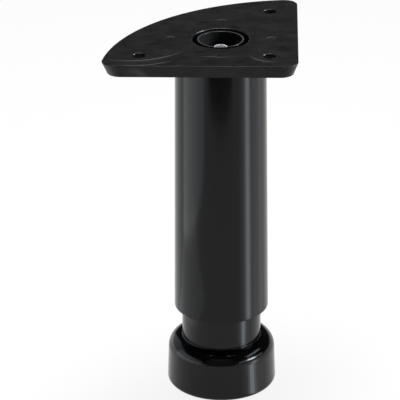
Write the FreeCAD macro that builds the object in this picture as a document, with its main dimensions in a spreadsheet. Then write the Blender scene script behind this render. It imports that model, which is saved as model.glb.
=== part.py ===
import FreeCAD, Part
import math
import os
import re
import Sketcher

# Adjustable cabinet leg: a quarter-round plate on a moulded tube, with a foot that a spindle
# moves up and down. Millimetres, +Z up. The origin is on the floor, on the axis of the tube,
# with the leg in the middle of its travel. The plate's straight edges face -Y and +X.

doc = FreeCAD.newDocument("cabinet_leg")
sheet = doc.addObject("Spreadsheet::Sheet", "Sizes")

# Driving dimensions: name, size in millimetres (angles in degrees), meaning
SIZES = [
    ("leg_height", 150, "floor to the top of the plate"),
    ("travel", 13, "how far the foot goes up, and down, from the middle"),
    ("plate_side", 75.7, "straight edge of the plate, to its sharp corners"),
    ("plate_edge_offset", 30.3, "axis to each straight edge"),
    ("plate_arc_radius", 79, "round edge of the plate"),
    ("plate_corner_radius", 5.8, "three corners of the plate"),
    ("plate_thickness", 5.2, "top to underside"),
    ("plate_draft", 18.3, "slope of the plate's edge, degrees"),
    ("plate_edge_round", 0.2, "rounding of the plate's outline at the top"),
    ("hole_edge_round", 0.5, "rounding of its holes at the top"),
    ("screw_spacing", 50, "corner hole to each of the other two"),
    ("screw_offset", 19, "axis to the corner hole, along each edge"),
    ("screw_hole", 5, "screw hole diameter"),
    ("countersink", 9.6, "screw head recess under the plate"),
    ("countersink_angle", 90, "degrees"),
    ("access_hole", 22.3, "centre hole of the plate"),
    ("ejector_mark", 3.2, "diameter of four shallow marks on the plate's top"),
    ("ejector_depth", 0.15, "their depth"),
    ("ejector_radius", 19.6, "axis to each of them"),
    ("spigot_length", 11, "ring under the plate that plugs into the tube"),
    ("plug_clearance", 0.05, "radial, pieces that are pressed together"),
    ("tube_top", 36, "outer diameter under the plate"),
    ("tube_bottom", 38.4, "outer diameter at the lower end"),
    ("tube_end_height", 34.1, "floor to the lower end of the tube"),
    ("tube_end_round", 0.5, "rounding of the lower edge"),
    ("tube_mouth", 1, "chamfer of the bore at the lower end"),
    ("pocket_wall", 2.4, "tube wall round the spigot"),
    ("pocket_depth", 12, "room for the spigot"),
    ("web_thickness", 4, "floor inside the tube that bears on the spindle"),
    ("chamber_radius", 15, "room under the web"),
    ("chamber_depth", 10.8, "from the web down to the guide bore"),
    ("slide_clearance", 0.25, "radial, neck in the tube"),
    ("boss", 18.6, "outer diameter of the ring in the centre hole"),
    ("boss_wall", 0.9, "its wall"),
    ("boss_recess", 0.3, "its rim below the top of the plate"),
    ("boss_edge_round", 0.15, "rounding of both edges of its rim"),
    ("rib_width", 4, "two ribs that keep the neck from turning"),
    ("rib_depth", 1.1, "how far they stand into the bore"),
    ("groove_clearance", 0.3, "round each rib"),
    ("rib_overlap", 0.5, "how far any rib reaches into the wall it grows from"),
    ("groove_length", 39, "from the top of the neck"),
    ("groove_room", 1, "groove's end below the ribs with the foot fully up"),
    ("pin", 6.4, "spindle above its collar"),
    ("pin_recess", 3.5, "spindle end below the top of the plate"),
    ("pin_clearance", 0.1, "radial, spindle in the web"),
    ("socket_width", 4, "hexagon socket across flats"),
    ("socket_depth", 4, "hexagon socket"),
    ("spindle_chamfer", 0.6, "both ends"),
    ("spindle_collar", 13, "collar diameter"),
    ("collar_thickness", 3.5, "collar"),
    ("thread", 8, "spindle below its collar"),
    ("thread_clearance", 0.05, "radial, nut on spindle"),
    ("spindle_tail", 2, "spindle below the stop ring"),
    ("washer_diameter", 12, "thrust washer"),
    ("washer_thickness", 1, "thrust washer"),
    ("ring_diameter", 11, "retaining ring"),
    ("ring_thickness", 0.7, "retaining ring"),
    ("ring_groove", 5, "groove diameter for the retaining ring"),
    ("ring_gap", 60, "opening of both rings, degrees"),
    ("ring_play", 0.05, "rings in their grooves, above and below"),
    ("stop_diameter", 13, "stop ring"),
    ("stop_thickness", 1, "stop ring"),
    ("stop_groove", 6.2, "groove diameter for the stop ring"),
    ("stop_margin", 0.3, "neck's web above the stop ring at full length"),
    ("nut_width", 13, "across flats"),
    ("nut_height", 6.5, "nut"),
    ("neck", 32.3, "outer diameter of the foot's neck"),
    ("neck_wall", 2.6, "its wall"),
    ("head_room", 14.8, "its top below the web with the foot fully up"),
    ("neck_edge", 0.5, "chamfer of its top edge"),
    ("neck_floor", 4.5, "under the nut"),
    ("neck_hole", 9, "spindle passes through"),
    ("neck_root_round", 0.3, "hollow rounding where the neck meets the foot"),
    ("foot_bottom", 44.8, "foot at the floor, to its sharp edge"),
    ("foot_draft", 2, "slope of its side, degrees"),
    ("foot_height", 20.3, "floor to its top at the neck"),
    ("foot_top_fall", 0.7, "how far its top falls from the neck to its sharp outer edge"),
    ("foot_shoulder", 5.5, "rounding of that edge"),
    ("foot_sole_round", 1.6, "rounding of its lower edge"),
    ("foot_wall", 2.7, "its skirt's wall at the floor"),
    ("foot_top_wall", 5, "thickness of its top"),
    ("foot_ribs", 8, "ribs between neck and skirt"),
    ("foot_rib_width", 1.8, "their thickness"),
    ("sole_thickness", 3, "disc that closes the foot"),
]
for row, (word, size, meaning) in enumerate(SIZES, start=1):
    sheet.set(f"A{row}", word)
    sheet.set(f"B{row}", str(size))
    sheet.set(f"C{row}", meaning)
    sheet.setAlias(f"B{row}", word)
doc.recompute()


NAMES = {word for word, _, _ in SIZES}
# Lengths closer than this, in millimetres, count as equal
NEAR = 1e-4


def sized(text):
    """An expression over the sheet's names, with each name led by the sheet."""
    return re.sub(r"[a-z_]+", lambda word: f"Sizes.{word[0]}" if word[0] in NAMES else word[0], text)


def number(text):
    """The value of such an expression."""
    return float(sheet.evalExpression(sized(text)))


# Heights that several pieces share
PLATE_UNDERSIDE = "(leg_height - plate_thickness)"
WEB_TOP = f"({PLATE_UNDERSIDE} - pocket_depth)"
WEB_UNDERSIDE = f"({WEB_TOP} - web_thickness)"
COLLAR_TOP = f"({WEB_UNDERSIDE} - washer_thickness)"
COLLAR_UNDERSIDE = f"({COLLAR_TOP} - collar_thickness)"
SPINDLE_TOP = "(leg_height - pin_recess)"
NECK_TOP = f"({WEB_UNDERSIDE} - travel - head_room)"
NUT_SEAT = f"({NECK_TOP} - nut_height)"
NECK_CEILING = f"({NUT_SEAT} - neck_floor)"
STOP_TOP = f"({NECK_CEILING} - travel - stop_margin)"
STOP_UNDERSIDE = f"({STOP_TOP} - stop_thickness)"
RING_UNDERSIDE = f"({WEB_TOP} + pin_clearance)"
RING_TOP = f"({RING_UNDERSIDE} + ring_thickness)"
GUIDE_TOP = f"({WEB_UNDERSIDE} - chamber_depth)"
RIB_START = f"({NECK_TOP} - groove_length + travel + groove_room)"
GUIDE_RADIUS = "(neck / 2 + slide_clearance)"
POCKET_RADIUS = "(tube_top / 2 - pocket_wall)"
SKIRT_RADIUS = "(foot_bottom / 2 - foot_wall)"


def new_body(name):
    body = doc.addObject("PartDesign::Body", name)
    body.Label = name
    return body


def new_sketch(body, name, role, height=None):
    """A sketch on one of the body's own planes, raised to a height."""
    plane = next(f for f in body.Origin.OriginFeatures if f.Role == role)
    sketch = body.newObject("Sketcher::SketchObject", name)
    sketch.AttachmentSupport = (plane, [""])
    sketch.MapMode = "FlatFace"
    if height:
        sketch.setExpression("AttachmentOffset.Base.z", sized(height))
    return sketch


def hold_point(sketch, edge, end, across, up):
    """Ties one end of a sketch's edge to two expressions."""
    for kind, axis, text in (("DistanceX", -2, across), ("DistanceY", -1, up)):
        size = number(text)
        if abs(size) < NEAR:
            sketch.addConstraint(Sketcher.Constraint("PointOnObject", edge, end, axis))
            continue
        points = (-1, 1, edge, end) if size > 0 else (edge, end, -1, 1)
        index = sketch.addConstraint(Sketcher.Constraint(kind, *points, abs(size)))
        sketch.setExpression(f"Constraints[{index}]", sized(text if size > 0 else f"-({text})"))


def polygon_sketch(body, name, role, corners, height=None):
    """A closed outline of straight runs, with each corner given by two expressions."""
    sketch = new_sketch(body, name, role, height)
    points = [FreeCAD.Vector(number(across), number(up), 0) for across, up in corners]
    for start, end in zip(points, points[1:] + points[:1]):
        sketch.addGeometry(Part.LineSegment(start, end))
    for edge, corner in enumerate(corners):
        following = (edge + 1) % len(corners)
        sketch.addConstraint(Sketcher.Constraint("Coincident", edge, 2, following, 1))
        hold_point(sketch, edge, 1, *corner)
    return sketch


def circle_sketch(body, name, diameter, height, centres=(("0", "0"),)):
    """Equal circles at one height."""
    sketch = new_sketch(body, name, "XY_Plane", height)
    for edge, (across, up) in enumerate(centres):
        centre = FreeCAD.Vector(number(across), number(up), 0)
        up_axis = FreeCAD.Vector(0, 0, 1)
        sketch.addGeometry(Part.Circle(centre, up_axis, number(diameter) / 2))
        index = sketch.addConstraint(Sketcher.Constraint("Diameter", edge, number(diameter)))
        sketch.setExpression(f"Constraints[{index}]", sized(diameter))
        if across == up == "0":
            sketch.addConstraint(Sketcher.Constraint("Coincident", edge, 3, -1, 1))
        else:
            hold_point(sketch, edge, 3, across, up)
    return sketch


def rectangle_sketch(body, name, near, far, half, height):
    """A rectangle on the X axis, between two distances from Z."""
    corners = [(near, f"-({half})"), (far, f"-({half})"), (far, half), (near, half)]
    return polygon_sketch(body, name, "XY_Plane", corners, height)


def hexagon_corners(width):
    """Corners of a hexagon from its width across flats, two of them on the Y axis."""
    half = f"({width} / 2)"
    near = f"({width} / 2 * tan(30))"
    tip = f"({width} / 2 / cos(30))"
    return [("0", tip), (f"-{half}", near), (f"-{half}", f"-{near}"),
            ("0", f"-{tip}"), (half, f"-{near}"), (half, near)]


def revolve(body, corners, angle="360"):
    """A turned solid: its outline in the XZ plane, swept round Z."""
    sketch = polygon_sketch(body, f"{body.Label}_outline", "XZ_Plane", corners)
    turned = body.newObject("PartDesign::Revolution", f"{body.Label}_turned")
    turned.Profile = sketch
    turned.ReferenceAxis = (sketch, ["V_Axis"])
    turned.setExpression("Angle", sized(angle))
    doc.recompute()
    return turned


def pad(body, sketch, length, down=False):
    raised = body.newObject("PartDesign::Pad", f"{sketch.Label}_pad")
    raised.Profile = sketch
    raised.setExpression("Length", sized(length))
    raised.Reversed = down
    doc.recompute()
    return raised


def pocket(body, sketch, length):
    """A cut that goes down from its sketch."""
    before = body.Shape.Volume
    cut = body.newObject("PartDesign::Pocket", f"{sketch.Label}_cut")
    cut.Profile = sketch
    cut.setExpression("Length", sized(length))
    doc.recompute()
    if not body.Shape.Volume < before:
        raise RuntimeError(f"{sketch.Label} cuts nothing")
    return cut


def repeat_round_axis(body, feature, sketch, count):
    """The same feature again at even steps round Z."""
    pattern = body.newObject("PartDesign::PolarPattern", f"{feature.Label}_repeat")
    pattern.Originals = [feature]
    pattern.Axis = (sketch, ["N_Axis"])
    pattern.Angle = 360
    pattern.setExpression("Occurrences", sized(count))
    body.Tip = pattern
    doc.recompute()


def dress(body, kind, name, size, wanted):
    """A fillet or chamfer on the edges that the test picks out."""
    base = body.Tip
    names = [f"Edge{i}" for i, edge in enumerate(base.Shape.Edges, start=1) if wanted(edge)]
    if not names:
        raise RuntimeError(f"no edge for {name}")
    edging = body.newObject(f"PartDesign::{kind}", name)
    edging.Base = (base, names)
    edging.setExpression("Radius" if kind == "Fillet" else "Size", sized(size))
    doc.recompute()


def is_rim(edge, diameter, height):
    """True for a circle round Z of one diameter at one height."""
    curve = edge.Curve
    if not isinstance(curve, Part.Circle):
        return False
    at_height = abs(curve.Center.z - number(height)) < NEAR
    return at_height and abs(2 * curve.Radius - number(diameter)) < NEAR


def make_mounting_plate():
    body = new_body("mounting_plate")
    outline = new_sketch(body, "plate_outline", "XY_Plane", "leg_height")
    side, offset, radius = (number(w) for w in ("plate_side", "plate_edge_offset", "plate_arc_radius"))
    corner = FreeCAD.Vector(offset, -offset, 0)
    left = FreeCAD.Vector(offset - side, -offset, 0)
    back = FreeCAD.Vector(offset, side - offset, 0)
    # The round edge meets the two straight ones at their ends, and its middle is on the plate's diagonal.
    towards_corner = FreeCAD.Vector(1, -1, 0).normalize()
    middle_of_ends = (left + back) * 0.5
    arc_centre = middle_of_ends + towards_corner * math.sqrt(radius**2 - side**2 / 2)
    arc_middle = arc_centre - towards_corner * radius
    outline.addGeometry(Part.LineSegment(left, corner))
    outline.addGeometry(Part.LineSegment(corner, back))
    outline.addGeometry(Part.Arc(back, arc_middle, left))
    arc_start = 1 if outline.Geometry[2].StartPoint.distanceToPoint(back) < NEAR else 2
    outline.addConstraint(Sketcher.Constraint("Coincident", 0, 2, 1, 1))
    outline.addConstraint(Sketcher.Constraint("Coincident", 1, 2, 2, arc_start))
    outline.addConstraint(Sketcher.Constraint("Coincident", 2, 3 - arc_start, 0, 1))
    hold_point(outline, 0, 2, "plate_edge_offset", "-plate_edge_offset")
    hold_point(outline, 0, 1, "plate_edge_offset - plate_side", "-plate_edge_offset")
    hold_point(outline, 1, 2, "plate_edge_offset", "plate_side - plate_edge_offset")
    index = outline.addConstraint(Sketcher.Constraint("Radius", 2, radius))
    outline.setExpression(f"Constraints[{index}]", sized("plate_arc_radius"))
    slab = pad(body, outline, "plate_thickness", down=True)
    slab.setExpression("TaperAngle", sized("-plate_draft"))
    doc.recompute()

    def slopes(edge):
        return edge.BoundBox.ZLength > number("plate_thickness") / 2

    dress(body, "Fillet", "plate_corners", "plate_corner_radius", slopes)
    spigot = circle_sketch(body, "spigot", f"2 * ({POCKET_RADIUS} - plug_clearance)", PLATE_UNDERSIDE)
    pad(body, spigot, "spigot_length", down=True)
    access = circle_sketch(body, "access_hole", "access_hole", "leg_height")
    pocket(body, access, "plate_thickness + spigot_length")
    far = "(screw_offset - screw_spacing)"
    holes = [("screw_offset", "-screw_offset"), (far, "-screw_offset"), ("screw_offset", f"-{far}")]
    screws = circle_sketch(body, "screws", "screw_hole", PLATE_UNDERSIDE, holes)
    doc.recompute()
    before = body.Shape.Volume
    drilled = body.newObject("PartDesign::Hole", "screw_holes")
    drilled.Profile = screws
    drilled.Reversed = True
    drilled.DepthType = "ThroughAll"
    drilled.setExpression("Diameter", sized("screw_hole"))
    drilled.HoleCutType = "Countersink"
    drilled.HoleCutCustomValues = True
    drilled.setExpression("HoleCutDiameter", sized("countersink"))
    drilled.setExpression("HoleCutCountersinkAngle", sized("countersink_angle"))
    doc.recompute()
    if not body.Shape.Volume < before:
        raise RuntimeError("screw holes cut nothing")

    def of_hole(edge):
        return any(is_rim(edge, hole, "leg_height") for hole in ("access_hole", "screw_hole"))

    def of_outline(edge):
        return edge.BoundBox.ZMin > number("leg_height") - NEAR and not of_hole(edge)

    dress(body, "Fillet", "plate_outline_edge", "plate_edge_round", of_outline)
    dress(body, "Fillet", "plate_hole_edges", "hole_edge_round", of_hole)
    out = "ejector_radius"
    places = [(out, "0"), ("0", out), (f"-{out}", "0"), ("0", f"-{out}")]
    marks = circle_sketch(body, "ejector_marks", "ejector_mark", "leg_height", places)
    pocket(body, marks, "ejector_depth")
    return body


def make_outer_tube():
    body = new_body("outer_tube")
    boss_rim = "leg_height - boss_recess"
    boss_inside = "boss / 2 - boss_wall"
    bearing = "pin / 2 + pin_clearance"
    revolve(body, [
        ("tube_bottom / 2", "tube_end_height"),
        ("tube_top / 2", PLATE_UNDERSIDE),
        (POCKET_RADIUS, PLATE_UNDERSIDE),
        (POCKET_RADIUS, WEB_TOP),
        ("boss / 2", WEB_TOP),
        ("boss / 2", boss_rim),
        (boss_inside, boss_rim),
        (boss_inside, WEB_TOP),
        (bearing, WEB_TOP),
        (bearing, WEB_UNDERSIDE),
        ("chamber_radius", WEB_UNDERSIDE),
        ("chamber_radius", GUIDE_TOP),
        (GUIDE_RADIUS, GUIDE_TOP),
        (GUIDE_RADIUS, "tube_end_height + tube_mouth"),
        (f"{GUIDE_RADIUS} + tube_mouth", "tube_end_height"),
    ])
    inner = f"({GUIDE_RADIUS} - rib_depth)"
    root = f"({GUIDE_RADIUS} + rib_overlap)"
    rib = rectangle_sketch(body, "rib", inner, root, "rib_width / 2", RIB_START)
    ribs = pad(body, rib, f"{GUIDE_TOP} - {RIB_START}")
    repeat_round_axis(body, ribs, rib, "2")
    dress(body, "Fillet", "tube_end", "tube_end_round",
          lambda edge: is_rim(edge, "tube_bottom", "tube_end_height"))
    dress(body, "Fillet", "boss_edges", "boss_edge_round",
          lambda edge: is_rim(edge, "boss", boss_rim) or is_rim(edge, f"2 * ({boss_inside})", boss_rim))
    return body


def make_spindle():
    body = new_body("spindle")
    end = f"({STOP_UNDERSIDE} - spindle_tail)"
    revolve(body, [
        ("0", end),
        ("thread / 2 - spindle_chamfer", end),
        ("thread / 2", f"{end} + spindle_chamfer"),
        ("thread / 2", f"{STOP_UNDERSIDE} - ring_play"),
        ("stop_groove / 2", f"{STOP_UNDERSIDE} - ring_play"),
        ("stop_groove / 2", f"{STOP_TOP} + ring_play"),
        ("thread / 2", f"{STOP_TOP} + ring_play"),
        ("thread / 2", COLLAR_UNDERSIDE),
        ("spindle_collar / 2", COLLAR_UNDERSIDE),
        ("spindle_collar / 2", COLLAR_TOP),
        ("pin / 2", COLLAR_TOP),
        ("pin / 2", f"{RING_UNDERSIDE} - ring_play"),
        ("ring_groove / 2", f"{RING_UNDERSIDE} - ring_play"),
        ("ring_groove / 2", f"{RING_TOP} + ring_play"),
        ("pin / 2", f"{RING_TOP} + ring_play"),
        ("pin / 2", f"{SPINDLE_TOP} - spindle_chamfer"),
        ("pin / 2 - spindle_chamfer", SPINDLE_TOP),
        ("0", SPINDLE_TOP),
    ])
    socket = polygon_sketch(body, "socket", "XY_Plane", hexagon_corners("socket_width"), SPINDLE_TOP)
    pocket(body, socket, "socket_depth")
    return body


def make_washer():
    body = new_body("thrust_washer")
    revolve(body, [
        ("pin / 2 + pin_clearance", COLLAR_TOP),
        ("washer_diameter / 2", COLLAR_TOP),
        ("washer_diameter / 2", WEB_UNDERSIDE),
        ("pin / 2 + pin_clearance", WEB_UNDERSIDE),
    ])
    return body


def make_snap_ring(name, groove, diameter, underside, top):
    """An open ring that snaps into a groove of the spindle."""
    body = new_body(name)
    revolve(body, [
        (f"{groove} / 2", underside),
        (f"{diameter} / 2", underside),
        (f"{diameter} / 2", top),
        (f"{groove} / 2", top),
    ], "360 - ring_gap")
    return body


def make_foot():
    """Neck and foot in one moulding, open below between the neck and the skirt."""
    body = new_body("foot")
    edge_height = "(foot_height - foot_top_fall)"
    edge_radius = f"(foot_bottom / 2 - {edge_height} * tan(foot_draft))"
    hollow_top = "(foot_height - foot_top_wall)"
    revolve(body, [
        ("foot_bottom / 2", "0"),
        (edge_radius, edge_height),
        ("neck / 2", "foot_height"),
        ("neck / 2", NECK_TOP),
        ("neck_hole / 2", NECK_TOP),
        ("neck_hole / 2", NECK_CEILING),
        ("neck / 2 - neck_wall", NECK_CEILING),
        ("neck / 2 - neck_wall", "sole_thickness"),
        ("neck / 2", "sole_thickness"),
        ("neck / 2", hollow_top),
        (SKIRT_RADIUS, hollow_top),
        (SKIRT_RADIUS, "0"),
    ])
    dress(body, "Fillet", "shoulder", "foot_shoulder",
          lambda edge: is_rim(edge, f"2 * {edge_radius}", edge_height))
    dress(body, "Fillet", "neck_root", "neck_root_round", lambda edge: is_rim(edge, "neck", "foot_height"))
    dress(body, "Fillet", "sole_edge", "foot_sole_round", lambda edge: is_rim(edge, "foot_bottom", "0"))
    dress(body, "Chamfer", "neck_top_edge", "neck_edge", lambda edge: is_rim(edge, "neck", NECK_TOP))
    seat = hexagon_corners("(nut_width + 2 * plug_clearance)")
    pocket(body, polygon_sketch(body, "nut_seat", "XY_Plane", seat, NECK_TOP), "nut_height")
    inner = f"({GUIDE_RADIUS} - rib_depth - groove_clearance)"
    outer = "(neck / 2 + rib_depth)"
    half = "(rib_width / 2 + groove_clearance)"
    groove = rectangle_sketch(body, "groove", inner, outer, half, NECK_TOP)
    repeat_round_axis(body, pocket(body, groove, "groove_length"), groove, "2")
    rib_root = "(neck / 2 - rib_overlap)"
    rib_end = f"({SKIRT_RADIUS} + rib_overlap)"
    rib = rectangle_sketch(body, "foot_rib", rib_root, rib_end, "foot_rib_width / 2", "sole_thickness")
    repeat_round_axis(body, pad(body, rib, f"{hollow_top} - sole_thickness"), rib, "foot_ribs")
    return body


def make_sole_disc():
    """A disc pressed into the skirt, under the neck and the ribs."""
    body = new_body("sole_disc")
    disc = circle_sketch(body, "disc", f"2 * ({SKIRT_RADIUS} - plug_clearance)", "sole_thickness")
    pad(body, disc, "sole_thickness", down=True)
    return body


def make_nut():
    body = new_body("spindle_nut")
    pad(body, polygon_sketch(body, "nut", "XY_Plane", hexagon_corners("nut_width"), NUT_SEAT), "nut_height")
    bore = circle_sketch(body, "nut_bore", "thread + 2 * thread_clearance", NECK_TOP)
    pocket(body, bore, "nut_height")
    return body


pieces = [
    make_mounting_plate(),
    make_outer_tube(),
    make_spindle(),
    make_washer(),
    make_snap_ring("retaining_ring", "ring_groove", "ring_diameter", RING_UNDERSIDE, RING_TOP),
    make_snap_ring("stop_ring", "stop_groove", "stop_diameter", STOP_UNDERSIDE, STOP_TOP),
    make_foot(),
    make_nut(),
    make_sole_disc(),
]
doc.recompute()

for item in doc.Objects:
    if "Invalid" in item.State or "Error" in item.State:
        raise RuntimeError(f"{item.Label} failed: {item.State}")
for piece in pieces:
    if piece.Shape.isNull() or not piece.Shape.isValid():
        raise RuntimeError(f"{piece.Label} has no valid shape")

os.makedirs("parts", exist_ok=True)
for piece in pieces:
    piece.Shape.exportStep(f"parts/{piece.Label}.step")
    box = piece.Shape.optimalBoundingBox(False, False)
    print(f"{piece.Label}: {len(piece.Shape.Solids)} solid, {piece.Shape.Volume / 1000:.2f} cm3,"
          f" z {box.ZMin:.2f} to {box.ZMax:.2f}, {box.XLength:.2f} x {box.YLength:.2f}")
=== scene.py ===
# %% [markdown]
# # Dressing an adjustable cabinet leg
# The leg is a quarter-round plate on a black tube, with a foot that a spindle winds up and down.
# Its solids arrive finished and in their right places, so this lesson adds what solids can't
# show: surfaces, light and a camera. Every piece stays where the solid model puts it.

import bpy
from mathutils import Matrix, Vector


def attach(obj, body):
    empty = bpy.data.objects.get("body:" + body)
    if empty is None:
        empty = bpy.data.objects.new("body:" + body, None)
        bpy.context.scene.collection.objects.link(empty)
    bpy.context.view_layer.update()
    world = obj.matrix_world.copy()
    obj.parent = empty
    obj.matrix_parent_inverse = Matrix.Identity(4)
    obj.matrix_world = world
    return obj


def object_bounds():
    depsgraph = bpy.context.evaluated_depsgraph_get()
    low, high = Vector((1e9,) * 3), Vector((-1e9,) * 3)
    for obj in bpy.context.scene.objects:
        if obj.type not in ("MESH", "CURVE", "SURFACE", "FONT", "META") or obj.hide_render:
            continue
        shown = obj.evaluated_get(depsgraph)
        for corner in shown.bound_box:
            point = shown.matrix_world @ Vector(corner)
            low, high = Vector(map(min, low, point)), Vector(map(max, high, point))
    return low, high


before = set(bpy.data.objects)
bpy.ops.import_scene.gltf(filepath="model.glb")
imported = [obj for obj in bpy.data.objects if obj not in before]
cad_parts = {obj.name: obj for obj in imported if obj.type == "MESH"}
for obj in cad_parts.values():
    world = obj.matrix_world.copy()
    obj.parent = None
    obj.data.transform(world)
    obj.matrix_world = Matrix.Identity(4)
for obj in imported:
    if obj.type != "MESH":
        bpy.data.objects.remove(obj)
solid_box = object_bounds()


def rounded(box):
    """The two corners of a box to a tenth of a millimetre, for printing."""
    return [tuple(round(metres, 4) for metres in corner) for corner in box]


print("pieces:", sorted(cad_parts))
print("box of the solids:", rounded(solid_box))

# %% [markdown]
# ## The camera
# The photograph looks down on the leg by about 25 degrees, from nearly straight in front of one of
# the plate's straight edges, through a long lens: the tube's sides hardly converge. A camera can be
# aimed by angles or by a tracking constraint. Here the viewing direction is written down and turned
# into a rotation, because a direction is what one can measure from known corners of the plate.

# %% Camera
import bpy
import math
from mathutils import Quaternion, Vector

LENS_MM = 205.6
SENSOR_MM = 36
CAMERA_PLACE = Vector((0.01974, -0.8365, 0.4650))
CAMERA_DIRECTION = Vector((-0.03066, 0.90815, -0.41748))
CAMERA_ROLL = -0.007

scene = bpy.context.scene
camera = bpy.data.objects.new("camera", bpy.data.cameras.new("camera"))
scene.collection.objects.link(camera)
camera.data.lens = LENS_MM
camera.data.sensor_width = SENSOR_MM
camera.location = CAMERA_PLACE
camera.rotation_mode = "QUATERNION"
level = CAMERA_DIRECTION.to_track_quat("-Z", "Y")
camera.rotation_quaternion = level @ Quaternion((0, 0, 1), CAMERA_ROLL)
scene.camera = camera
scene.view_settings.view_transform = "Standard"
downward = math.degrees(math.asin(-CAMERA_DIRECTION.normalized().z))
print("camera looks down by", round(downward, 1), "degrees")

# %% [markdown]
# ## The floor
# Product pictures are often taken in a cove, a floor that curves up into a wall, so that no edge
# shows behind the object. A plane and a wall with a bevel would do. A profile spun round the axis
# is as easy, and gives the same white from every side. The leg grows and shrinks at its foot, so the
# floor rides with the foot and is always under it.

# %% Cove
import bmesh

COVE_RADIUS = 4.0
COVE_BEND = 0.35
COVE_HEIGHT = 0.6
COVE_STEPS = 96
BEND_STEPS = 12
MERGE_DISTANCE = 1e-5

flat_reach = COVE_RADIUS - COVE_BEND
# A ring of edges a third of the way out keeps the faces of the flat part from being too long
profile = [(0, 0), (flat_reach / 3, 0)]
for step in range(BEND_STEPS + 1):
    angle = math.pi / 2 * step / BEND_STEPS
    profile.append((flat_reach + COVE_BEND * math.sin(angle), COVE_BEND * (1 - math.cos(angle))))
profile.append((COVE_RADIUS, COVE_HEIGHT))

form = bmesh.new()
points = [form.verts.new((distance, 0, height)) for distance, height in profile]
lines = [form.edges.new(ends) for ends in zip(points, points[1:])]
whole_turn = {"axis": (0, 0, 1), "cent": (0, 0, 0), "angle": 2 * math.pi, "steps": COVE_STEPS}
bmesh.ops.spin(form, geom=points + lines, **whole_turn)
bmesh.ops.remove_doubles(form, verts=form.verts, dist=MERGE_DISTANCE)
for face in form.faces:
    face.smooth = True
cove_mesh = bpy.data.meshes.new("cove")
form.to_mesh(cove_mesh)
form.free()
cove = bpy.data.objects.new("cove", cove_mesh)
scene.collection.objects.link(cove)
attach(cove, "foot_set")
print("cove:", len(cove_mesh.polygons), "faces")

# %% [markdown]
# The photograph's ground is plain white. More light would bleach the leg as well, so most of the white
# is in the cove's own material: seen by the camera or in a reflection, it is mostly an even glow of
# strength 1. The rest is an ordinary matt surface, which keeps the soft shadow of the leg. Materials
# are made of nodes, and a small helper that adds a node and wires its inputs keeps the cells short.

# %% Cove material
COVE_GLOW_SHARE = 0.87
COVE_WHITE = (0.95, 0.95, 0.95, 1)


def add_node(tree, kind, inputs=None, **options):
    """A new node. Each of its inputs is a plain value, or the output of another node."""
    node = tree.nodes.new(kind)
    for option, value in options.items():
        setattr(node, option, value)
    for socket, value in (inputs or {}).items():
        if isinstance(value, bpy.types.NodeSocket):
            tree.links.new(value, node.inputs[socket])
        else:
            node.inputs[socket].default_value = value
    return node


def calculate(tree, operation, first, second=0.0):
    """One step of arithmetic in nodes."""
    return add_node(tree, "ShaderNodeMath", {0: first, 1: second}, operation=operation).outputs[0]


cove_white = bpy.data.materials.new("cove_white")
cove_white.use_nodes = True
tree = cove_white.node_tree
tree.nodes.clear()
rays = add_node(tree, "ShaderNodeLightPath").outputs
seen = calculate(tree, "MAXIMUM", rays["Is Camera Ray"], rays["Is Glossy Ray"])
seen = calculate(tree, "MAXIMUM", seen, rays["Is Transmission Ray"])
glow_share = calculate(tree, "MULTIPLY", seen, COVE_GLOW_SHARE)
matt = add_node(tree, "ShaderNodeBsdfDiffuse", {"Color": COVE_WHITE})
glow = add_node(tree, "ShaderNodeEmission")
both = add_node(tree, "ShaderNodeMixShader", {0: glow_share, 1: matt.outputs[0], 2: glow.outputs[0]})
add_node(tree, "ShaderNodeOutputMaterial", {"Surface": both.outputs[0]})
cove_mesh.materials.append(cove_white)
print("cove glows by", COVE_GLOW_SHARE, "of its white")

# %% [markdown]
# ## The light
# A black glossy tube shows little of its own colour. What one sees is its surroundings, bent round
# it: a broad pale band on the left and a thin bright line on the right. A bright world would be
# mirrored all over the leg and drown them, so the room is a dim grey and the lamps do the rest.

# %% Dim room
ROOM_GREY = (0.04, 0.04, 0.04, 1)

room = bpy.data.worlds.new("dim_room")
room.use_nodes = True
room.node_tree.nodes["Background"].inputs["Color"].default_value = ROOM_GREY
scene.world = room
print("the room's grey is", ROOM_GREY[0])

# %% [markdown]
# Each lamp is an area lamp, a rectangle of light like a photographer's soft box. A lamp takes its
# power in watts, which looks dimmer on a larger panel, so a helper works it out from the glow that
# a mirror image of the panel should have. Panels that matter only as mirror images are switched off
# for diffuse light, so they leave the floor even, and they are a little blue, like daylight. A
# photographer flags off a lamp so that it reaches only the part it is meant for. Light linking does
# the same: a panel may be given a collection of pieces, and it lights nothing else.

# %% A panel of light
COOL_WHITE = (0.85, 0.93, 1)


def add_panel(name, place, facing, size, glow, pieces=(), only_mirrored=True):
    """A rectangle of light, as bright as this glow, that the camera itself doesn't see."""
    lamp = bpy.data.lights.new(name, "AREA")
    lamp.shape = "RECTANGLE"
    lamp.size, lamp.size_y = size
    lamp.energy = glow * math.pi * lamp.size * lamp.size_y
    panel = bpy.data.objects.new(name, lamp)
    scene.collection.objects.link(panel)
    panel.location = place
    panel.rotation_mode = "QUATERNION"
    panel.rotation_quaternion = Vector(facing).to_track_quat("-Z", "Y")
    panel.visible_camera = False
    if only_mirrored:
        panel.visible_diffuse = False
        lamp.color = COOL_WHITE
    if pieces:
        lit_pieces = bpy.data.collections.new(f"lit_by_{name}")
        for piece in pieces:
            lit_pieces.objects.link(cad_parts[piece])
        panel.light_linking.receiver_collection = lit_pieces
    print(name, "gives", round(lamp.energy, 4), "W")
    return panel


# %% [markdown]
# A large soft panel overhead does most of the lighting. The tube's pale band is a mirror image, so
# its panels stand low on the left, where an upright wall seen from above mirrors them. Others are
# there for the tube's right side, for the boss in the plate's centre hole, a thin ring with a matt
# wall inside, for the glints on the rims of the holes, and for the two streaks and the pale haze on
# the foot's rounded shoulder.

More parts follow.
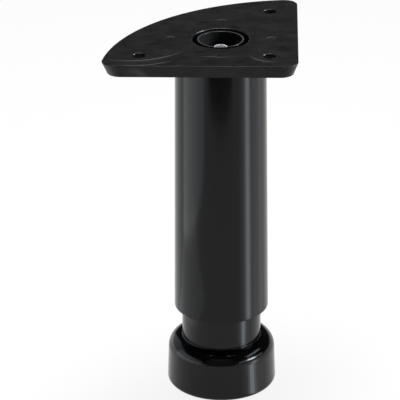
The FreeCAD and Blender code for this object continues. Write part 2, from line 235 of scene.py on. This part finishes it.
# %% Panels of light
# Two places that have two panels each, with the way that both face
HIGH_RIGHT = ((0.47, 0.02, 0.45), (-0.47, -0.02, -0.35))
LOW_RIGHT = ((0.276, -0.117, 0.110), (-0.263, 0.100, -0.093))
# Each panel's place, the way it faces, its width and height, its glow, and the pieces that it is for
PANELS = {
    "top": ((-0.01, 0.09, 0.90), (0, 0, -1), (0.38, 0.32), 23.7),
    "left": ((-0.165, -0.0875, 0.06), (1, 0, 0), (0.235, 0.12), 0.92),
    "left_low": ((-0.125, -0.03, 0.0005), (0, 0, 1), (0.12, 0.12), 0.5),
    "right": ((0.065, 0.002, 0.06), (-1, 0, 0), (0.036, 0.12), 0.6, ["outer_tube"]),
    "ring": ((-0.013, 0.561, 0.361), (0.013, -0.561, -0.211), (0.055, 0.055), 0.8, ["outer_tube"]),
    "glint": (*HIGH_RIGHT, (0.22, 0.22), 95, ["mounting_plate"]),
    "boss": (*HIGH_RIGHT, (0.22, 0.22), 50, ["outer_tube"]),
    "streak": (*LOW_RIGHT, (0.10, 0.03), 60, ["foot"]),
    "streak_ends": (*LOW_RIGHT, (0.34, 0.03), 4, ["foot"]),
    "second_streak": ((0.439, 0.010, 0.428), (-0.43, -0.025, -0.41), (0.40, 0.08), 5, ["foot"]),
    "haze": ((-0.163, 0.1235, 0.09), (0.906, -0.423, 0), (0.194, 0.18), 0.75, ["foot"]),
}
# A lamp with a narrower spread looks dimmer at a slant, which fades the tube's band to one side
LEFT_SPREAD = math.radians(125)

for name, panel in PANELS.items():
    added = add_panel(f"{name}_panel", *panel, only_mirrored=name != "top")
    if name == "left":
        added.data.spread = LEFT_SPREAD

# %% [markdown]
# The bright line on the right runs down the tube, the neck and the foot. It is the image of a narrow
# upright strip beside the leg. A wall turned by an angle mirrors what lies at twice that angle, which
# gives the strip's bearing. Tube, neck and foot each have a strip of their own, so that the foot's
# shoulder mirrors no more of them than it should. The foot's side is so low that it mirrors only what
# is close by, so its strip stands right beside it. Each is a bright strip in three wider and dimmer
# ones, which gives the line soft edges.

# %% Strips of light
STRIP_BEARING = math.radians(70.8)
# The radius of the wall that mirrors a strip, how far from that wall the strip stands, the heights of
# its two ends, and its width
STRIPS = {
    "tube": {"wall": 0.0186, "away": 0.036, "low": 0.0155, "high": 0.13, "width": 0.0075},
    "neck": {"wall": 0.0186, "away": 0.036, "low": 0, "high": 0.0155, "width": 0.0075},
    "foot": {"wall": 0.0220, "away": 0.003, "low": 0, "high": 0.0135, "width": 0.0022},
}
# How bright each layer of a strip is, and how many times the strip's width
LAYERS = [(5.2, 1), (2.0, 2), (0.7, 3.2), (0.3, 5)]

outward = Vector((math.sin(STRIP_BEARING), -math.cos(STRIP_BEARING), 0))
wall_faces = Vector((math.sin(STRIP_BEARING / 2), -math.cos(STRIP_BEARING / 2), 0))
for name, strip in STRIPS.items():
    middle = Vector((0, 0, (strip["low"] + strip["high"]) / 2))
    place = wall_faces * strip["wall"] + outward * strip["away"] + middle
    pieces = ["outer_tube" if name == "tube" else "foot"]
    for glow, widen in LAYERS:
        size = (strip["width"] * widen, strip["high"] - strip["low"])
        add_panel(f"{name}_strip", place, -outward, size, glow, pieces)

# %% [markdown]
# A photographer puts a dark card in front of a glossy black thing, because without it the front
# mirrors white and looks grey. This one is a single upright face. It stands where the tube's upper end
# and the foot's shoulder mirror it, and shows in nothing but reflections.

# %% Dark card
CARD_HALF_WIDTH = 0.18
CARD_FRONT = -0.324
CARD_HEIGHT = 0.5
CARD_GREY = (0.2, 0.2, 0.2, 1)

card_mesh = bpy.data.meshes.new("dark_card")
left, right = -CARD_HALF_WIDTH, CARD_HALF_WIDTH
card_corners = [(left, 0), (right, 0), (right, CARD_HEIGHT), (left, CARD_HEIGHT)]
card_mesh.from_pydata([(x, CARD_FRONT, z) for x, z in card_corners], [], [(0, 1, 2, 3)])
card_grey = bpy.data.materials.new("card_grey")
card_grey.use_nodes = True
card_sockets = card_grey.node_tree.nodes["Principled BSDF"].inputs
card_sockets["Base Color"].default_value = CARD_GREY
card_sockets["Roughness"].default_value = 1
card_mesh.materials.append(card_grey)
dark_card = bpy.data.objects.new("dark_card", card_mesh)
scene.collection.objects.link(dark_card)
dark_card.visible_camera = False
dark_card.visible_diffuse = False
dark_card.visible_shadow = False
print("dark card stands", -CARD_FRONT, "m in front")

# %% [markdown]
# ## Finishes
# All finishes start from the same principled shader. A value that is the same all over the piece is
# typed on the shader. What varies, such as small changes of gloss, is worked out from the
# piece's own coordinates in metres, so a grain of one millimetre is one millimetre everywhere and
# needs no unwrapping.

# %% Helpers for finishes
# Noise lies between 0 and 1, and nearly all of it between these two
NOISE_LOW = 0.3
NOISE_HIGH = 0.7
BLUE_OVER_RED = 1.04


def new_finish(name, **constants):
    """A principled material, with its sockets and its piece's own coordinates ready to use."""
    finish = bpy.data.materials.new(name)
    finish.use_nodes = True
    sockets = finish.node_tree.nodes["Principled BSDF"].inputs
    for socket, value in constants.items():
        sockets[socket].default_value = value
    where = add_node(finish.node_tree, "ShaderNodeTexCoord").outputs["Object"]
    return finish, finish.node_tree, sockets, where


def mottle(tree, where, size):
    """Noise whose patches are about this many metres across."""
    return add_node(tree, "ShaderNodeTexNoise", {"Vector": where, "Scale": 1 / size}).outputs["Fac"]


def between(tree, value, from_low, from_high, low, high):
    """Carries a value from one range over to another, and holds it inside."""
    ranges = {"From Min": from_low, "From Max": from_high, "To Min": low, "To Max": high}
    return add_node(tree, "ShaderNodeMapRange", {"Value": value, **ranges}).outputs["Result"]


def uneven(tree, where, size, low, high):
    """Noise that is spread over a range of values."""
    return between(tree, mottle(tree, where, size), NOISE_LOW, NOISE_HIGH, low, high)


def shade(tree, share, dark, light):
    """A grey between two greys, each a little blue."""
    ramp = add_node(tree, "ShaderNodeValToRGB", {"Fac": share})
    for stop, grey in zip(ramp.color_ramp.elements, (dark, light)):
        stop.color = (grey, grey, grey * BLUE_OVER_RED, 1)
    return ramp.outputs["Color"]


def relief(tree, height, depth):
    """Small hills and hollows of about this depth in metres."""
    return add_node(tree, "ShaderNodeBump", {"Height": height, "Distance": depth}).outputs["Normal"]


# %% [markdown]
# ### Flow lines and painted glints
# The plate is one moulding. Where the melt flowed round the holes and met again, it left pale curved
# lines on the top, too thin and too flat to be modelled. The short pale arcs along the back edges of the
# round ejector marks are painted glints: light caught by those edges, put into the colour. They could be
# painted on an image. In nodes, an arc is simply where the distance from its centre is its radius, and it
# fades with the distance from its middle.

# %% Flow lines and painted glints in nodes
MILLIMETRE = 0.001
# Three places on each line, from left to right, and half its width, in millimetres on the plate's top
FLOW_LINES_AND_PAINTED_GLINTS = [
    ((-38.8, -24.6), (-26.7, -23.3), (-13.7, -13.5), 0.7),
    ((-34.7, -29.5), (-26.4, -28.6), (-16.7, -23.2), 0.6),
    ((11.5, -18.5), (16.1, -23.8), (22.6, -24.7), 0.6),
    ((-9.2, -19.4), (-1.2, -20.0), (6.9, -20.2), 0.45),
    # The last three arcs are painted glints: light caught on the back edges of the round ejector marks
    ((-1.7, 19.6), (0, 21.3), (1.7, 19.6), 0.6),
    ((-21.3, 0), (-19.6, 1.7), (-17.9, 0), 0.6),
    ((17.9, 0), (19.6, 1.7), (21.3, 0), 0.6),
]
PLATE_TOP = solid_box[1][2]
# A line begins to fade this share of the way from its middle to its end
FADE_START = 1 / 3


def circle_centre(first, second, third):
    """The point that is equally far from three others on the plate's top."""
    one, two = second - first, third - first
    turn = 2 * (one.x * two.y - one.y * two.x)
    across = (two.y * one.length_squared - one.y * two.length_squared) / turn
    up = (one.x * two.length_squared - two.x * one.length_squared) / turn
    return first + Vector((across, up, 0))


def pale_arc(tree, where, places, half_width):
    """1 along the middle of an arc through three places, and 0 at its sides and ends: a flow line, or a
    painted glint on the edge of an ejector mark.
    """
    first, middle, last = places
    centre = circle_centre(first, middle, last)
    reach = max((first - middle).length, (last - middle).length)
    from_centre = add_node(tree, "ShaderNodeVectorMath", {0: where, 1: centre}, operation="DISTANCE")
    from_middle = add_node(tree, "ShaderNodeVectorMath", {0: where, 1: middle}, operation="DISTANCE")
    off_line = calculate(tree, "SUBTRACT", from_centre.outputs["Value"], (first - centre).length)
    across = between(tree, calculate(tree, "ABSOLUTE", off_line), 0, half_width, 1, 0)
    along = between(tree, from_middle.outputs["Value"], reach * FADE_START, reach, 1, 0)
    return calculate(tree, "MULTIPLY", across, along)


print(len(FLOW_LINES_AND_PAINTED_GLINTS), "flow lines, at a height of", round(PLATE_TOP, 4), "m")

# %% [markdown]
# ### Plastic of the plate
# The plate is satin black: it was moulded against a ground steel face, which left a fine grain and faint
# streaks along the plate, and handling has left it blotchy. The streaks are noise that is stretched
# along one axis. Blotches are slower noise, and the flow lines and the painted glints at the ejector
# marks are added to both before all of it becomes a shade of grey.

# %% Plate plastic
STREAK_STRETCH = (0.12, 1, 1)

plate_plastic, tree, sockets, where = new_finish("plate_plastic", IOR=1.27)
stretched = add_node(tree, "ShaderNodeVectorMath", {0: where, 1: STREAK_STRETCH}, operation="MULTIPLY")
streaks = uneven(tree, stretched.outputs["Vector"], size=0.0012, low=0, high=0.10)
blotches = uneven(tree, where, size=0.004, low=0, high=0.10)
pale = calculate(tree, "ADD", streaks, blotches)
# Flow lines, and the painted glints at the ejector marks, make the colour lighter along their arcs
for *places, half_width in FLOW_LINES_AND_PAINTED_GLINTS:
    on_top = [Vector((x * MILLIMETRE, y * MILLIMETRE, PLATE_TOP)) for x, y in places]
    line = pale_arc(tree, where, on_top, half_width * MILLIMETRE)
    pale = calculate(tree, "ADD", pale, line)
grain = mottle(tree, where, size=0.0012)
tree.links.new(shade(tree, pale, dark=0.001, light=0.06), sockets["Base Color"])
tree.links.new(uneven(tree, where, size=0.009, low=0.28, high=0.40), sockets["Roughness"])
tree.links.new(relief(tree, grain, depth=0.00005), sockets["Normal"])
print("plate plastic:", len(tree.nodes), "nodes")

# %% [markdown]
# ### Plastic of the tube
# The tube is semi-gloss: its reflections are clear, with soft edges. The roughness sets how soft, and
# a very slight, slow unevenness of the wall makes them waver as on a real moulding. Only the outside
# was moulded against polished steel. In the boss that shows in the plate's centre hole the wall is
# matt, and the distance from the axis tells which wall is which.

# %% Tube plastic
MATT_WITHIN = 0.00842
MATT_ROUGHNESS = 0.8
LEVEL_ONLY = (1, 1, 0)

tube_plastic, tree, sockets, where = new_finish("tube_plastic", IOR=1.30)
level_place = add_node(tree, "ShaderNodeVectorMath", {0: where, 1: LEVEL_ONLY}, operation="MULTIPLY")
from_axis = add_node(tree, "ShaderNodeVectorMath", {0: level_place.outputs["Vector"]}, operation="LENGTH")
in_boss = calculate(tree, "LESS_THAN", from_axis.outputs["Value"], MATT_WITHIN)
matt_inside = calculate(tree, "MULTIPLY", in_boss, MATT_ROUGHNESS)
semi_gloss = uneven(tree, where, size=0.010, low=0.12, high=0.16)
tint = mottle(tree, where, size=0.02)
waves = mottle(tree, where, size=0.004)
tree.links.new(shade(tree, tint, dark=0.002, light=0.003), sockets["Base Color"])
tree.links.new(calculate(tree, "MAXIMUM", semi_gloss, matt_inside), sockets["Roughness"])
tree.links.new(relief(tree, waves, depth=0.00001), sockets["Normal"])
print("tube plastic:", len(tree.nodes), "nodes")

# %% [markdown]
# ### Plastic of the foot
# The foot is as smooth as the tube, but it mirrors a little more strongly. The shader's index of
# refraction, the IOR, sets how much a surface mirrors, and the rest of the recipe is the tube's.

# %% Foot plastic
foot_plastic, tree, sockets, where = new_finish("foot_plastic", IOR=1.32)
tint = mottle(tree, where, size=0.015)
waves = mottle(tree, where, size=0.004)
tree.links.new(shade(tree, tint, dark=0.002, light=0.003), sockets["Base Color"])
tree.links.new(uneven(tree, where, size=0.008, low=0.12, high=0.16), sockets["Roughness"])
tree.links.new(relief(tree, waves, depth=0.00001), sockets["Normal"])
print("foot plastic:", len(tree.nodes), "nodes")

# %% [markdown]
# ### Zinc-plated steel
# The spindle's end shines deep in the centre hole. It is a turned and plated face, rough enough to catch
# the light from overhead although it faces the ceiling and the camera looks from the side. The nut and
# the washer inside have the same plating.

# %% Zinc-plated steel
zinc_steel, tree, sockets, where = new_finish("zinc_steel", Metallic=1)
spangle = mottle(tree, where, size=0.002)
tree.links.new(shade(tree, spangle, dark=0.72, light=0.86), sockets["Base Color"])
tree.links.new(uneven(tree, where, size=0.001, low=0.55, high=0.65), sockets["Roughness"])
print("zinc-plated steel:", len(tree.nodes), "nodes")

# %% [markdown]
# ### Spring steel
# The two snap rings are hardened and oiled, so they are much darker than zinc and a little smoother.
# The recipe is the same, with other values.

# %% Spring steel
spring_steel, tree, sockets, where = new_finish("spring_steel", Metallic=1)
oil = mottle(tree, where, size=0.002)
tree.links.new(shade(tree, oil, dark=0.16, light=0.24), sockets["Base Color"])
tree.links.new(uneven(tree, where, size=0.001, low=0.30, high=0.42), sockets["Roughness"])
print("spring steel:", len(tree.nodes), "nodes")

# %% [markdown]
# ## Dressing the pieces
# Each solid wears one finish. The sole disc is hidden under the foot and is moulded like the plate. A
# material could also be given to single faces, but a moulding is the same stuff all over.

# %% Dress the pieces
FINISHES = {
    "mounting_plate": plate_plastic,
    "sole_disc": plate_plastic,
    "outer_tube": tube_plastic,
    "foot": foot_plastic,
    "spindle": zinc_steel,
    "spindle_nut": zinc_steel,
    "thrust_washer": zinc_steel,
    "retaining_ring": spring_steel,
    "stop_ring": spring_steel,
}
for name, finish in FINISHES.items():
    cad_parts[name].data.materials.clear()
    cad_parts[name].data.materials.append(finish)
    print(name, "wears", finish.name)
